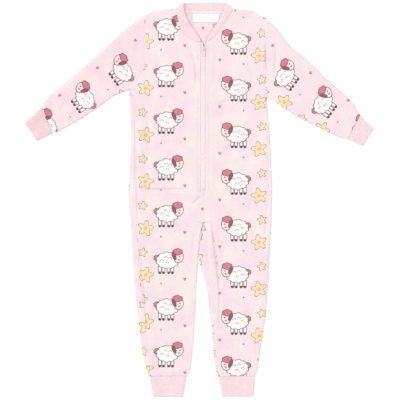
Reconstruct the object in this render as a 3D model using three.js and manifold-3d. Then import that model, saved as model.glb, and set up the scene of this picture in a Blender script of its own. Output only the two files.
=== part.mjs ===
// One-piece pajamas for a child of about five, laid flat on the back: coral fleece panels, rib
// knit neck band and cuffs, and a long front zip. Millimetres. X runs across the garment, towards
// the wearer's left side, Y from the feet to the neck, and Z up from the surface it lies on.
import * as THREE from "three";
import { mergeVertices } from "three/addons/utils/BufferGeometryUtils.js";
import Module from "manifold-3d";

// Walls
const FLEECE = 2.2;
const RIB_KNIT = 2.4;
const BAND_KNIT = 2.6;
const SEAM_PULL = 0.22; // each piece stops this far short of the seam line
const CUFF_PULL = 0.62;

// How the two layers lie
const FOLD_RADIUS = 2.8; // of the middle of the wall, where the cloth turns over
const LOW = FLEECE / 2; // middle of the layer that lies on the surface
const HIGH = LOW + 2 * FOLD_RADIUS; // middle of the wall at the crest of a folded edge
const SETTLED = 1.5 * FLEECE + 0.5; // middle of the upper layer where it rests on the lower one
const EDGE_FADE = 17; // the folded edge stands proud of the rest over this width
const ARC_STEPS = 4;
const ARC_SPAN = (Math.PI * FOLD_RADIUS) / ARC_STEPS;

// Zip
const ZIP_TOP = 853;
const ZIP_END = 497;
const ZIP_HALF_GAP = 7.3; // from the centre line to the cloth's edge
const ZIP_RISE = 1.95; // the tapes lift the cloth by this much
const ZIP_RISE_HALF = 14.5;
const ZIP_RISE_FADE = 20;
const LAID_GAP = 0.3; // under a piece that lies on another
const TAPE = { inner: 0.6, outer: 13, thick: 0.7, under: 3.5, bottom: 490, top: 851 };
const CHAIN = { half: 2.8, under: 4.5, over: 6.3 };
const SLIDER_Y = 835.5;
const SLIDER_HALF = 5.3;
const PLATE = { under: 6.7, over: 7.5 };
const PULL_AXIS_Z = 8.6;
const PULL_THICK = 1.2;
const PULL_LENGTH = 20;
const PULL_DROOP = THREE.MathUtils.degToRad(3.2);

// Ribs
const RIB_PITCH = 4;
const RIB_RELIEF = 0.5;

const UNDERARM = { right: 737, left: 718 };
const CROTCH = 418;

// Turns rows of numbers into objects with named columns.
function table(names, rows) {
  return rows.map((row) => Object.fromEntries(names.map((name, i) => [name, row[i]])));
}

// Across the garment at each height: the folded outer edges, the side seam that shows on the
// right front, the inner edges of the legs, and the left inseam that shows on the front.
const SECTIONS = table(
  ["y", "sideRight", "seamRight", "innerRight", "innerLeft", "inseamLeft", "sideLeft"],
  [
    [0, -122, -117, -50, 44, 47, 119],
    [50, -131, -126, -41, 34, 38, 123],
    [62, -138, -130, -33, 28, 32, 128],
    [118, -150, -136, -26, 22, 26, 136],
    [175, -157, -141, -22, 16, 22, 146],
    [233, -163, -147, -19, 10, 20, 151],
    [276, -167, -151, -17, 4, 17, 155],
    [305, -169, -154, -15.5, -6, 14, 156],
    [324, -170, -156, -14, -13.5, 12, 157],
    [348, -172, -157, -13, -12.5, 10, 158],
    [372, -173, -158, -10, -9.5, 8, 159],
    [396, -175, -160, -4.5, -4, 6, 161],
    [418, -176, -161, -0.5, 0, 2, 162],
    [463, -180, -163, -0.3, 0.3, 1, 163],
    [506, -181, -165, -0.3, 0.3, 1, 164],
    [564, -178, -169, -0.3, 0.3, 1, 161],
    [636, -175, -168, -0.3, 0.3, 1, 158],
    [689, -177, -169, -0.3, 0.3, 1, 152],
    [718, -178, -170, -0.3, 0.3, 1, 151],
    [737, -179, -171, -0.3, 0.3, 1, 151],
  ],
);

// Heights of the rows of points, closest where the legs part and the zip ends.
const CUFF_SEAM = 50;
const LEG_ROWS = [CUFF_SEAM, 64, 96, 140, 185, 230, 276, 310, 340, 370, 397, 409];
const TRUNK_ROWS = [421, 440, 468, 494, 497.5, 515, 550, 590, 632, 672];
const UNDERARM_ROW = 15; // the last row of the trunk lies this far below the underarm

// Folded upper and lower edges of each sleeve from the neck and the underarm to the cuff, and
// the armhole seams from the shoulder seam to the underarm.
const ARMS = {
  right: {
    over: [
      [-68, 933], [-94, 931], [-120, 926], [-144, 916], [-173, 894], [-206, 867],
      [-238, 836], [-271, 808], [-305, 779], [-338, 750], [-372, 722], [-393, 694],
    ],
    under: [
      [-179, 737], [-211, 725], [-230, 713], [-250, 697], [-276, 680], [-307, 660],
      [-338, 643], [-363, 632],
    ],
    front: [[-144, 900], [-139, 866], [-138, 833], [-140, 808], [-149, 778], [-161, 757]],
    back: [[-163, 757], [-152, 783], [-146, 820], [-143, 860], [-143, 893]],
    cuff: { over: [-431, 657], under: [-402, 614] },
  },
  left: {
    over: [
      [70, 933], [90, 931], [117, 926], [144, 912], [168, 893], [188, 866],
      [216, 833], [245, 812], [283, 775], [322, 739], [352, 714], [376, 674],
    ],
    under: [
      [151, 718], [168, 710], [187, 697], [216, 677], [245, 661], [283, 643], [318, 625], [345, 619],
    ],
    front: [[144, 899], [147, 866], [148, 833], [149.5, 800], [150, 772], [150, 745]],
    back: [[150, 745], [149, 783], [147, 820], [145, 860], [144, 890]],
    cuff: { over: [409, 644], under: [382, 601] },
  },
};
const ARMHOLE_INDEX = 3; // the armhole starts at this point of the upper edge
const FRONT_POINTS = 10;
const BACK_POINTS = 7;
const SLEEVE_STATIONS = 10;

// Neckline of the front from the zip to the shoulder seam, with the free edge of the band beside
// it, for each side.
const NECK = {
  right: table(
    ["x", "y", "freeX", "freeY"],
    [
      [-ZIP_HALF_GAP, ZIP_TOP, -9, 861],
      [-22.5, 854, -17.3, 872.5],
      [-36, 859, -26.3, 885],
      [-47, 868.5, -34.5, 898.5],
      [-55.5, 882.5, -41.2, 911.5],
      [-61.5, 901, -46, 924.5],
      [-66, 921, -48.5, 938],
    ],
  ),
  left: table(
    ["x", "y", "freeX", "freeY"],
    [
      [ZIP_HALF_GAP, ZIP_TOP, 6.5, 861],
      [22, 861, 14, 873],
      [34, 873, 24, 888],
      [43, 886, 33, 902],
      [52, 902, 41, 915],
      [60, 914, 46.5, 926],
      [66, 923, 49.5, 938],
    ],
  ),
};
const BAND_TOP = 948.5;
const BAND_CORNER = { right: [-49, 948], left: [51, 948] }; // where its fold meets its free edge
const BACK_NECK = 928;
const BAND_FREE_Z = 4.9; // the band's free edge lies over the label and the tape

// Soft folds of the upper layer: ends, height and half width.
const FOLDS = table(
  ["x0", "y0", "x1", "y1", "height", "half"],
  [
    [-43, 854, -18, 800, 1.5, 7],
    [-18, 800, -17, 640, 0.7, 6],
    [-168, 497, -20, 494, 1.7, 8],
    [-30, 463, -4, 482, 1.3, 7],
    [-130, 680, -132, 560, 1.2, 12],
    [19, 418, 24, 356, 2.0, 8],
    [24, 356, 41, 246, 1.7, 9],
    [15, 700, 88, 744, 1.4, 11],
    [26, 590, 152, 632, 1.5, 12],
    [172, 838, 172, 768, 1.8, 6],
    [139, 835, 142, 780, 1.2, 6],
    [48, 152, 80, 122, 1.4, 9],
    [-60, 330, -140, 352, 1.0, 11],
    [-230, 790, -262, 724, 1.3, 9],
    [-318, 742, -336, 668, 1.1, 9],
    [240, 770, 262, 700, 1.2, 9],
    [-92, 130, -60, 84, 1.1, 9],
    [60, 320, 132, 300, 1.0, 11],
  ],
);

const COLOURS = {
  fleece: { color: 0xfbe3e8, roughness: 0.95, metalness: 0 },
  rib: { color: 0xf7c6d0, roughness: 0.9, metalness: 0 },
  tape: { color: 0xf9dde4, roughness: 0.85, metalness: 0 },
  label: { color: 0xfafafa, roughness: 0.7, metalness: 0 },
  enamel: { color: 0xf8d9e1, roughness: 0.4, metalness: 0.1 },
};

const v2 = (x, y) => new THREE.Vector2(x, y);
const v3 = (x, y, z) => new THREE.Vector3(x, y, z);
const clamp = THREE.MathUtils.clamp;
const smooth = THREE.MathUtils.smoothstep;

// A column of the sections at height y, on a smooth curve through the rows.
function sectionAt(name, y) {
  const last = SECTIONS.length - 1;
  const found = SECTIONS.findIndex((row) => row.y > y);
  const i = found < 0 ? last - 1 : Math.max(found - 1, 0);
  const [a, b] = [SECTIONS[i], SECTIONS[i + 1]];
  const slope = (k) => {
    const [low, high] = [SECTIONS[Math.max(k - 1, 0)], SECTIONS[Math.min(k + 1, last)]];
    return (high[name] - low[name]) / (high.y - low.y);
  };
  const step = b.y - a.y;
  const t = clamp((y - a.y) / step, 0, 1);
  const [t2, t3] = [t * t, t * t * t];
  return (
    (2 * t3 - 3 * t2 + 1) * a[name] +
    (t3 - 2 * t2 + t) * step * slope(i) +
    (3 * t2 - 2 * t3) * b[name] +
    (t3 - t2) * step * slope(i + 1)
  );
}

// A folded edge: a point on the middle of the wall where it turns, and the way into the garment.
function fold(x, y, inside) {
  const way = inside.clone().normalize();
  return { at: v2(x, y).addScaledVector(way, FLEECE / 2), inside: way };
}

function foldOfSection(name, y, sign) {
  const slope = (sectionAt(name, y + 1) - sectionAt(name, y - 1)) / 2;
  return fold(sectionAt(name, y), y, v2(sign, -sign * slope));
}

function smoothLine(points) {
  return new THREE.CatmullRomCurve3(
    points.map(([x, y]) => v3(x, y, 0)),
    false,
    "centripetal",
  );
}

function foldOfLine(curve, share, sign) {
  const point = curve.getPointAt(share);
  const tangent = curve.getTangentAt(share);
  return fold(point.x, point.y, v2(-tangent.y * sign, tangent.x * sign));
}

// The edges that the height of the upper layer is measured from.
const SIGN = { right: 1, left: -1 };
function sampled(count, pointAt) {
  return Array.from({ length: count + 1 }, (_, i) => pointAt(i / count));
}
const EDGE_SAMPLES = 26;
const LEG_TOP = CROTCH - 2;
const foldLines = [];
for (const [name, top, sign] of [
  ["sideRight", UNDERARM.right, 1],
  ["sideLeft", UNDERARM.left, -1],
  ["innerRight", LEG_TOP, -1],
  ["innerLeft", LEG_TOP, 1],
])
  foldLines.push(sampled(EDGE_SAMPLES, (t) => foldOfSection(name, t * top, sign).at));
for (const side of ["right", "left"]) {
  const arm = ARMS[side];
  const over = smoothLine(arm.over);
  const under = smoothLine(arm.under);
  foldLines.push(sampled(EDGE_SAMPLES, (t) => foldOfLine(over, t, SIGN[side]).at));
  foldLines.push(sampled(EDGE_SAMPLES, (t) => foldOfLine(under, t, -SIGN[side]).at));
  foldLines.push([v2(...arm.over.at(-1)), v2(...arm.cuff.over)]);
  foldLines.push([v2(...arm.under.at(-1)), v2(...arm.cuff.under)]);
  foldLines.push([v2(...arm.over[0]), v2(...BAND_CORNER[side])]);
}

function segmentDistance(x, y, ax, ay, bx, by) {
  const [dx, dy] = [bx - ax, by - ay];
  const t = clamp(((x - ax) * dx + (y - ay) * dy) / (dx * dx + dy * dy), 0, 1);
  return Math.hypot(x - ax - t * dx, y - ay - t * dy);
}

function edgeDistance(x, y) {
  let nearest = Infinity;
  for (const line of foldLines)
    for (let i = 1; i < line.length; i += 1) {
      const [a, b] = [line[i - 1], line[i]];
      nearest = Math.min(nearest, segmentDistance(x, y, a.x, a.y, b.x, b.y));
    }
  return nearest;
}

// What stands up from the settled layer: the zip's ridge, the soft folds and slight swells.
function relief(x, y) {
  const beside = 1 - smooth(Math.abs(x), ZIP_RISE_HALF, ZIP_RISE_HALF + ZIP_RISE_FADE);
  const along = smooth(y, ZIP_END - 40, ZIP_END - 8);
  let height = ZIP_RISE * beside * along;
  for (const f of FOLDS) {
    const away = segmentDistance(x, y, f.x0, f.y0, f.x1, f.y1) / f.half;
    height += f.height * Math.exp(-away * away);
  }
  const swell = Math.sin(x / 41 + 0.6) * Math.sin(y / 57 + x / 160) + Math.sin(y / 33 - x / 90);
  return height + 0.18 * (swell + 2);
}

// Height of the middle of the upper layer.
function topHeight(x, y) {
  const d = edgeDistance(x, y);
  if (d < FOLD_RADIUS)
    return LOW + FOLD_RADIUS + Math.sqrt(FOLD_RADIUS ** 2 - (FOLD_RADIUS - d) ** 2);
  const away = (d - FOLD_RADIUS) / EDGE_FADE;
  const edge = (HIGH - SETTLED) * Math.exp(-away * away);
  return SETTLED + edge + relief(x, y) * smooth(d, FOLD_RADIUS, 4 * FOLD_RADIUS);
}

function onLayer(x, y, top) {
  return v3(x, y, top ? topHeight(x, y) : LOW);
}

// A point on the turn of a folded edge: angle 0 is the lower layer, PI the upper one.
function arcPoint(edge, angle) {
  const d = FOLD_RADIUS * (1 - Math.sin(angle));
  const z = LOW + FOLD_RADIUS * (1 - Math.cos(angle));
  return v3(edge.at.x + edge.inside.x * d, edge.at.y + edge.inside.y * d, z);
}

function arcPoints(edge) {
  return sampled(ARC_STEPS, (t) => arcPoint(edge, t * Math.PI));
}

// The points by which a panel runs out to its edge, from its middle, with steps spans in all.
// The edge lies angle round the fold, or beyond it at strip on the other layer.
function turn(edge, angle, target, fromTop, steps, strip) {
  const onArc = (a) => arcPoint(edge, fromTop ? Math.PI - a : a);
  if (strip) {
    const arc = sampled(ARC_STEPS, (t) => onArc(t * Math.PI));
    const end = arc.at(-1);
    const beyond = steps - ARC_STEPS;
    for (let i = 1; i <= beyond; i += 1) {
      const point = end.clone().lerp(strip, i / beyond);
      arc.push(onLayer(point.x, point.y, !fromTop));
    }
    return arc;
  }
  const start = v2(edge.at.x, edge.at.y).addScaledVector(edge.inside, FOLD_RADIUS);
  const way = v2(target.x - start.x, target.y - start.y).normalize();
  const flat = steps * ARC_SPAN - angle * FOLD_RADIUS;
  return sampled(steps, (t) => {
    const run = t * steps * ARC_SPAN;
    if (run > flat + 1e-6) return onArc((run - flat) / FOLD_RADIUS);
    const back = flat - run;
    return onLayer(start.x + way.x * back, start.y + way.y * back, fromTop);
  });
}

// The points between two ends, on one layer, without the ends.
function between(a, b, spans, top) {
  const points = [];
  for (let i = 1; i < spans; i += 1) {
    const point = a.clone().lerp(b, i / spans);
    points.push(onLayer(point.x, point.y, top));
  }
  return points;
}

// The armhole seam all round: over the shoulder, down the front, under the arm, up the back.
function armholeOf(side) {
  const arm = ARMS[side];
  const sign = SIGN[side];
  const top = arm.over[ARMHOLE_INDEX];
  const before = arm.over[ARMHOLE_INDEX - 1];
  const after = arm.over[ARMHOLE_INDEX + 1];
  const along = v2(after[0] - before[0], after[1] - before[1]);
  const shoulder = fold(top[0], top[1], v2(-along.y * sign, along.x * sign));
  const [corner, next] = arm.under;
  const sleeveInside = v2(next[1] - corner[1], corner[0] - next[0]).normalize().multiplyScalar(sign);
  const underarm = fold(corner[0], corner[1], sleeveInside.add(v2(sign, 0)));
  const upper = arcPoints(shoulder);
  const lower = arcPoints(underarm).reverse();
  const flat = (point) => [point.x, point.y];
  const front = smoothLine([...arm.front, flat(lower[0])]);
  const back = smoothLine([flat(lower.at(-1)), ...arm.back, flat(upper[0])]);
  const frontPoints = [];
  for (let i = 0; i < FRONT_POINTS; i += 1) {
    const point = front.getPointAt(i / FRONT_POINTS);
    frontPoints.push(onLayer(point.x, point.y, true));
  }
  const backPoints = [];
  for (let i = 1; i <= BACK_POINTS; i += 1) {
    const point = back.getPointAt(i / (BACK_POINTS + 1));
    backPoints.push(onLayer(point.x, point.y, false));
  }
  return { upper, front: frontPoints, lower, back: backPoints, shoulder, underarm };
}

const armholes = { right: armholeOf("right"), left: armholeOf("left") };

// The fold over the shoulder, from the neck to the armhole.
function shoulderFold(side, share) {
  const line = smoothLine(ARMS[side].over.slice(0, ARMHOLE_INDEX + 1));
  if (share > 0.999) return armholes[side].shoulder;
  return foldOfLine(line, share, SIGN[side]);
}

// Inner end of a front panel's row, on the zip's edge and down the centre front seam.
function frontEdge(side, y) {
  const x = y > ZIP_END - 1 ? -ZIP_HALF_GAP * SIGN[side] : 0;
  return onLayer(x, y, true);
}

const YOKE_STEPS = [0, 9, 18, 42, 66, 92]; // heights of the first yoke rows above the underarm

// Inner ends of the front yoke's rows, up the zip's edge and along the neckline.
function frontYokeEnds(side) {
  const start = UNDERARM[side];
  const ends = YOKE_STEPS.map((step) => frontEdge(side, start + step));
  for (const row of NECK[side]) ends.push(onLayer(row.x, row.y, true));
  return ends;
}

// The row of a leg or of the trunk at one height, where the legs' inner folds start at the crotch.
const HIDDEN_STRIP = 12; // the left side seam lies this far past the fold, underneath
const INSEAM_TURN = 20; // the left inseam comes round to the front over this height

function sideSeamPoint(side, y) {
  if (side === "right") {
    const x = sectionAt("seamRight", y);
    return onLayer(x, y, true);
  }
  const edge = foldOfSection("sideLeft", y, -1);
  const strip = edge.at.clone().addScaledVector(edge.inside, FOLD_RADIUS + HIDDEN_STRIP);
  return onLayer(strip.x, strip.y, false);
}

function innerEdge(side, y) {
  if (y > CROTCH) {
    const inside = v2(-SIGN[side], 0);
    return { at: inside.clone().multiplyScalar(-FOLD_RADIUS).add(v2(0, y)), inside };
  }
  const name = side === "right" ? "innerRight" : "innerLeft";
  return foldOfSection(name, y, -SIGN[side]);
}

function inseamAngle(y) {
  if (y > CROTCH) return 0;
  return Math.PI * (0.5 + 0.5 * clamp((CROTCH - y) / INSEAM_TURN, 0, 1));
}

function inseamPoint(side, y) {
  const angle = inseamAngle(y);
  if (side === "right" || angle < Math.PI - 0.01) return arcPoint(innerEdge(side, y), angle);
  const edge = innerEdge(side, y);
  const crest = arcPoint(edge, Math.PI);
  const x = Math.max(sectionAt("inseamLeft", y), crest.x + 0.8);
  return onLayer(x, y, true);
}

const lowerRows = (side) => [
  ...LEG_ROWS,
  CROTCH,
  ...TRUNK_ROWS,
  UNDERARM[side] - UNDERARM_ROW,
];
const FRONT_SPANS = 10;
const BACK_SPANS = 3;
const INNER_STEPS = { right: ARC_STEPS, left: ARC_STEPS + 2 };
const OUTER_STEPS = ARC_STEPS + 1;

function frontInner(side, y) {
  return y > CROTCH ? frontEdge(side, y) : inseamPoint(side, y);
}

function frontRightRow(y) {
  const outer = sideSeamPoint("right", y);
  const inner = frontInner("right", y);
  return [inner, ...between(inner, outer, FRONT_SPANS, true), outer];
}

function frontRight() {
  const rows = lowerRows("right").map(frontRightRow);
  const { lower, front } = armholes.right;
  const outers = [lower[2], lower[1], lower[0], ...[...front].reverse()];
  frontYokeEnds("right").forEach((inner, i) => {
    rows.push([inner, ...between(inner, outers[i], FRONT_SPANS, true), outers[i]]);
  });
  return rows;
}

// The left front turns under at the side, so its side seam is out of sight.
function frontLeftRow(y) {
  const inner = frontInner("left", y);
  const edge = foldOfSection("sideLeft", y, -1);
  const out = turn(edge, Math.PI, inner, true, OUTER_STEPS, sideSeamPoint("left", y));
  return [inner, ...between(inner, out[0], FRONT_SPANS, true), ...out];
}

function frontLeft() {
  const rows = lowerRows("left").map(frontLeftRow);
  const { lower, front, underarm } = armholes.left;
  const outers = [lower[2], lower[1], lower[0], ...[...front].reverse()];
  frontYokeEnds("left").forEach((inner, i) => {
    const angle = i < 2 ? (Math.PI / ARC_STEPS) * (2 - i) : 0;
    const out =
      i < 3 ? turn(underarm, angle, inner, true, OUTER_STEPS) : runOut(outers[i], inner, true);
    rows.push([inner, ...between(inner, out[0], FRONT_SPANS, true), ...out]);
  });
  return rows;
}

// The flat run to an edge with no fold, in the same spans as a turn.
function runOut(end, target, top) {
  const way = v2(target.x - end.x, target.y - end.y).normalize();
  const points = [];
  for (let i = OUTER_STEPS; i > 0; i -= 1) {
    const back = i * ARC_SPAN;
    points.push(onLayer(end.x + way.x * back, end.y + way.y * back, top));
  }
  return [...points, end];
}

// Inner ends of the back yoke's rows: up the centre back and out along the neckline.
function backYokeFolds(side) {
  const start = UNDERARM[side];
  const sign = SIGN[side];
  const heights = [0, 9, 18, 45, 78, 110, 142, 172].map((step) => start + step);
  heights[heights.length - 1] = Math.min(heights.at(-1), BACK_NECK - 14);
  const ends = heights.map((y) => v2(0, y));
  ends.push(v2(0, BACK_NECK), v2(-34 * sign, BACK_NECK + 0.4));
  return ends;
}

function backRow(side, y) {
  const edge = side === "right" ? foldOfSection("sideRight", y, 1) : null;
  const seam = sideSeamPoint(side, y);
  const aim = v2(edge ? edge.at.x : seam.x, y);
  const inner = innerEdge(side, y);
  const angle = inseamAngle(y);
  const whole = angle > Math.PI - 0.01;
  const inward =
    whole && side === "right"
      ? arcPoints(inner)
      : turn(inner, angle, aim, false, INNER_STEPS[side], whole ? inseamPoint(side, y) : null);
  const out = edge
    ? turn(edge, Math.PI, inward[0], false, OUTER_STEPS, seam)
    : runOut(seam, inward[0], false);
  return joinRow(inward, out);
}

function backPanel(side) {
  const sign = SIGN[side];
  const innerSteps = INNER_STEPS[side];
  const rows = lowerRows(side).map((y) => backRow(side, y));
  const { upper, lower, front, back, underarm } = armholes[side];
  const outers = [lower[2], lower[3], lower[4], ...back];
  backYokeFolds(side).forEach((point, i) => {
    const inside = v2(-sign, 0);
    const seam = { at: point.clone().addScaledVector(inside, -FOLD_RADIUS), inside };
    const inward = turn(seam, 0, v2(outers[i].x, outers[i].y), false, innerSteps, null);
    const angle = i < 2 ? (Math.PI / ARC_STEPS) * (2 - i) : 0;
    const out =
      i < 3
        ? turn(underarm, angle, point, false, OUTER_STEPS, null)
        : runOut(outers[i], point, false);
    rows.push(joinRow(inward, out));
  });
  const across = shoulderShares(side, innerSteps);
  for (let k = 0; k <= ARC_STEPS; k += 1) {
    const angle = (k * Math.PI) / ARC_STEPS;
    rows.push(across.map((share) => arcPoint(shoulderFold(side, share), angle)));
    rows.at(-1)[across.length - 1] = upper[k];
  }
  const neck = NECK[side].at(-1);
  const corner = front[0];
  rows.push(
    across.map((share) => {
      const x = neck.x + (corner.x - neck.x) * share;
      const y = neck.y + (corner.y - neck.y) * share;
      return share > 0.999 ? corner : onLayer(x, y, true);
    }),
  );
  return rows;
}

// A row of the back from its inner edge, whose points run outwards, to its outer edge.
function joinRow(inward, out) {
  const [a, b] = [inward[0], out[0]];
  return [...[...inward].reverse(), ...between(a, b, BACK_SPANS, false), ...out];
}

// Shares along the shoulder that keep the spans of the rows below it.
function shoulderShares(side, innerSteps) {
  const { over } = ARMS[side];
  const width = Math.abs(over[ARMHOLE_INDEX][0] - over[0][0]);
  const inner = (innerSteps * ARC_SPAN) / width;
  const outer = 1 - (OUTER_STEPS * ARC_SPAN) / width;
  const shares = sampled(innerSteps, (t) => t * inner);
  for (let i = 1; i < BACK_SPANS; i += 1) shares.push(inner + ((outer - inner) * i) / BACK_SPANS);
  return [...shares, ...sampled(OUTER_STEPS, (t) => outer + (1 - outer) * t)];
}

// The rings of a sleeve, the first on the armhole and the last on the cuff's seam.
function sleeveRings(side) {
  const arm = ARMS[side];
  const hole = armholes[side];
  const over = smoothLine(arm.over.slice(ARMHOLE_INDEX));
  const under = smoothLine(arm.under);
  const rings = [[...hole.upper, ...hole.front, ...hole.lower, ...hole.back]];
  const bend = hole.front.map((point, i) => {
    const straight = hole.upper.at(-1).clone().lerp(hole.lower[0], (i + 1) / (FRONT_POINTS + 1));
    return point.clone().sub(straight);
  });
  const backBend = hole.back.map((point, i) => {
    const straight = hole.lower.at(-1).clone().lerp(hole.upper[0], (i + 1) / (BACK_POINTS + 1));
    return point.clone().sub(straight);
  });
  for (let k = 1; k <= SLEEVE_STATIONS; k += 1) {
    const share = k / SLEEVE_STATIONS;
    const keep = Math.max(0, 1 - share * 2.2) ** 2;
    const upper = arcPoints(foldOfLine(over, share, SIGN[side]));
    const lower = arcPoints(foldOfLine(under, share, -SIGN[side])).reverse();
    const front = bend.map((offset, i) => {
      const point = upper.at(-1).clone().lerp(lower[0], (i + 1) / (FRONT_POINTS + 1));
      point.addScaledVector(offset, keep);
      return onLayer(point.x, point.y, true);
    });
    const back = backBend.map((offset, i) => {
      const point = lower.at(-1).clone().lerp(upper[0], (i + 1) / (BACK_POINTS + 1));
      point.addScaledVector(offset, keep);
      return onLayer(point.x, point.y, false);
    });
    rings.push([...upper, ...front, ...lower, ...back]);
  }
  return rings;
}

// Equally spaced points round a closed ring.
function respaced(ring, count) {
  const lengths = ring.map((point, i) => point.distanceTo(ring[(i + 1) % ring.length]));
  const total = lengths.reduce((sum, length) => sum + length, 0);
  const points = [];
  let [i, start] = [0, 0];
  for (let k = 0; k < count; k += 1) {
    const run = (k * total) / count;
    while (run > start + lengths[i]) {
      start += lengths[i];
      i += 1;
    }
    points.push(ring[i].clone().lerp(ring[(i + 1) % ring.length], (run - start) / lengths[i]));
  }
  return points;
}

function ringLength(ring) {
  return ring.reduce((sum, point, i) => sum + point.distanceTo(ring[(i + 1) % ring.length]), 0);
}

// A flat ring between two folded edges.
function flatRing(overEdge, underEdge) {
  const upper = arcPoints(overEdge);
  const lower = arcPoints(underEdge).reverse();
  const spans = FRONT_POINTS + 1;
  return [
    ...upper,
    ...between(upper.at(-1), lower[0], spans, true),
    ...lower,
    ...between(lower.at(-1), upper[0], BACK_POINTS + 1, false),
  ];
}

const CUFF_ROUNDING = 1.6;

// Rows of a cuff from its seam ring to its open end, on columns that carry the ribs.
function cuffRows(seamRing, endRing) {
  const ribs = Math.round(ringLength(endRing) / RIB_PITCH);
  const first = respaced(seamRing, 2 * ribs);
  const last = respaced(endRing, 2 * ribs);
  const shareAt = (mm) => 1 - mm / first[0].distanceTo(last[0]);
  return [0, shareAt(CUFF_ROUNDING), 1].map((share) =>
    first.map((point, i) => point.clone().lerp(last[i], share)),
  );
}

function sleeveCuff(side, seamRing) {
  const arm = ARMS[side];
  const along = (line, end) => v2(end[0] - line.at(-1)[0], end[1] - line.at(-1)[1]).normalize();
  const sign = SIGN[side];
  const overWay = along(arm.over, arm.cuff.over);
  const underWay = along(arm.under, arm.cuff.under);
  const over = fold(...arm.cuff.over, v2(-overWay.y * sign, overWay.x * sign));
  const under = fold(...arm.cuff.under, v2(underWay.y * sign, -underWay.x * sign));
  return cuffRows(seamRing, flatRing(over, under));
}

// The ring round a leg at one height, through the panels' own points.
function legRing(side, y) {
  const front = side === "right" ? frontRightRow(y) : frontLeftRow(y);
  return [...front, ...backRow(side, y).reverse().slice(1, -1)];
}

// The slope of a line of points at one of them, also at its ends.
function slopeAt(points, i, closed) {
  const n = points.length;
  if (closed) return points[(i + 1) % n].clone().sub(points[(i + n - 1) % n]);
  if (i > 0 && i < n - 1) return points[i + 1].clone().sub(points[i - 1]);
  const [a, b, c] = i === 0 ? points : [points[n - 1], points[n - 2], points[n - 3]];
  const slope = b.clone().sub(a);
  if (c) {
    const near = slope.length();
    const far = near + b.distanceTo(c);
    slope.multiplyScalar(far * far).addScaledVector(c.clone().sub(a), -near * near);
  }
  return i === 0 ? slope : slope.negate();
}

function normalsOf(rows, ring) {
  const columns = rows[0].map((_, j) => rows.map((row) => row[j]));
  return rows.map((row, i) =>
    row.map((_, j) => slopeAt(row, j, ring).cross(slopeAt(columns[j], i, false)).normalize()),
  );
}

const keyOf = (point) => point.toArray().map((value) => Math.round(value * 50)).join();

// Pieces that share a seam point lean the same way there, so their edges stay parallel.
function shareNormals(pieces) {
  const shared = new Map();
  for (const piece of pieces)
    piece.rows.flat().forEach((point, i) => {
      const normal = piece.normals.flat()[i];
      const key = keyOf(point);
      const sum = shared.get(key) ?? v3(0, 0, 0);
      shared.set(key, sum.addScaledVector(normal, sum.dot(normal) < 0 ? -1 : 1));
    });
  for (const piece of pieces)
    piece.rows.forEach((row, i) =>
      row.forEach((point, j) => {
        const normal = piece.normals[i][j];
        const sum = shared.get(keyOf(point)).clone().normalize();
        normal.copy(sum.dot(normal) < 0 ? sum.negate() : sum);
      }),
    );
}

// A wall about a grid of points on its middle, with rows that run along and columns across.
// In a ring the last column joins the first. The ribs stand on the outer face of odd columns.
function wall(rows, normals, thickness, { ring = false, ribs = 0, rounded = [] } = {}) {
  const count = rows[0].length;
  const vertices = [[], []];
  rows.forEach((row, i) =>
    row.forEach((point, j) => {
      const thin = rounded.includes(i);
      const half = (thickness / 2) * (thin ? 0.55 : 1);
      const raised = j % 2 === 1 ? ribs * (thin ? 0.4 : 1) : 0;
      const outer = point.clone().addScaledVector(normals[i][j], half + raised);
      const inner = point.clone().addScaledVector(normals[i][j], -half);
      vertices[0].push(outer.setZ(Math.max(outer.z, 0)));
      vertices[1].push(inner.setZ(Math.max(inner.z, 0)));
    }),
  );
  const index = (face, i, j) => face * rows.length * count + i * count + (j % count);
  const triangles = [];
  const quad = (a, b, c, d) => triangles.push(a, b, c, a, c, d);
  const spans = ring ? count : count - 1;
  for (let i = 0; i + 1 < rows.length; i += 1)
    for (let j = 0; j < spans; j += 1) {
      const at = (face, di, dj) => index(face, i + di, j + dj);
      quad(at(0, 0, 0), at(0, 0, 1), at(0, 1, 1), at(0, 1, 0));
      quad(at(1, 0, 0), at(1, 1, 0), at(1, 1, 1), at(1, 0, 1));
    }
  const end = rows.length - 1;
  for (let j = 0; j < spans; j += 1) {
    quad(index(1, 0, j), index(1, 0, j + 1), index(0, 0, j + 1), index(0, 0, j));
    quad(index(0, end, j), index(0, end, j + 1), index(1, end, j + 1), index(1, end, j));
  }
  if (!ring)
    for (let i = 0; i < end; i += 1) {
      quad(index(0, i, 0), index(0, i + 1, 0), index(1, i + 1, 0), index(1, i, 0));
      const j = count - 1;
      quad(index(1, i, j), index(1, i + 1, j), index(0, i + 1, j), index(0, i, j));
    }
  return meshOf([...vertices[0], ...vertices[1]], triangles);
}

// A geometry with its faces pointing out, whichever way the points were given.
function meshOf(points, triangles) {
  let volume = 0;
  for (let i = 0; i < triangles.length; i += 3) {
    const [a, b, c] = [0, 1, 2].map((k) => points[triangles[i + k]]);
    volume += a.dot(b.clone().cross(c));
  }
  if (volume < 0)
    for (let i = 0; i < triangles.length; i += 3)
      [triangles[i + 1], triangles[i + 2]] = [triangles[i + 2], triangles[i + 1]];
  const geometry = new THREE.BufferGeometry();
  const positions = new Float32Array(points.flatMap((point) => point.toArray()));
  geometry.setAttribute("position", new THREE.BufferAttribute(positions, 3));
  geometry.setIndex(triangles);
  return geometry;
}

// Where several turned edges meet, they stand further apart.
const TIGHT_SPOTS = table(
  ["x", "y", "reach", "pull"],
  [
    [-4, CROTCH - 8, 15, 0.7],
    [-178, UNDERARM.right, 6, 0.4],
    [151, UNDERARM.left, 6, 0.4],
  ],
);

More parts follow.
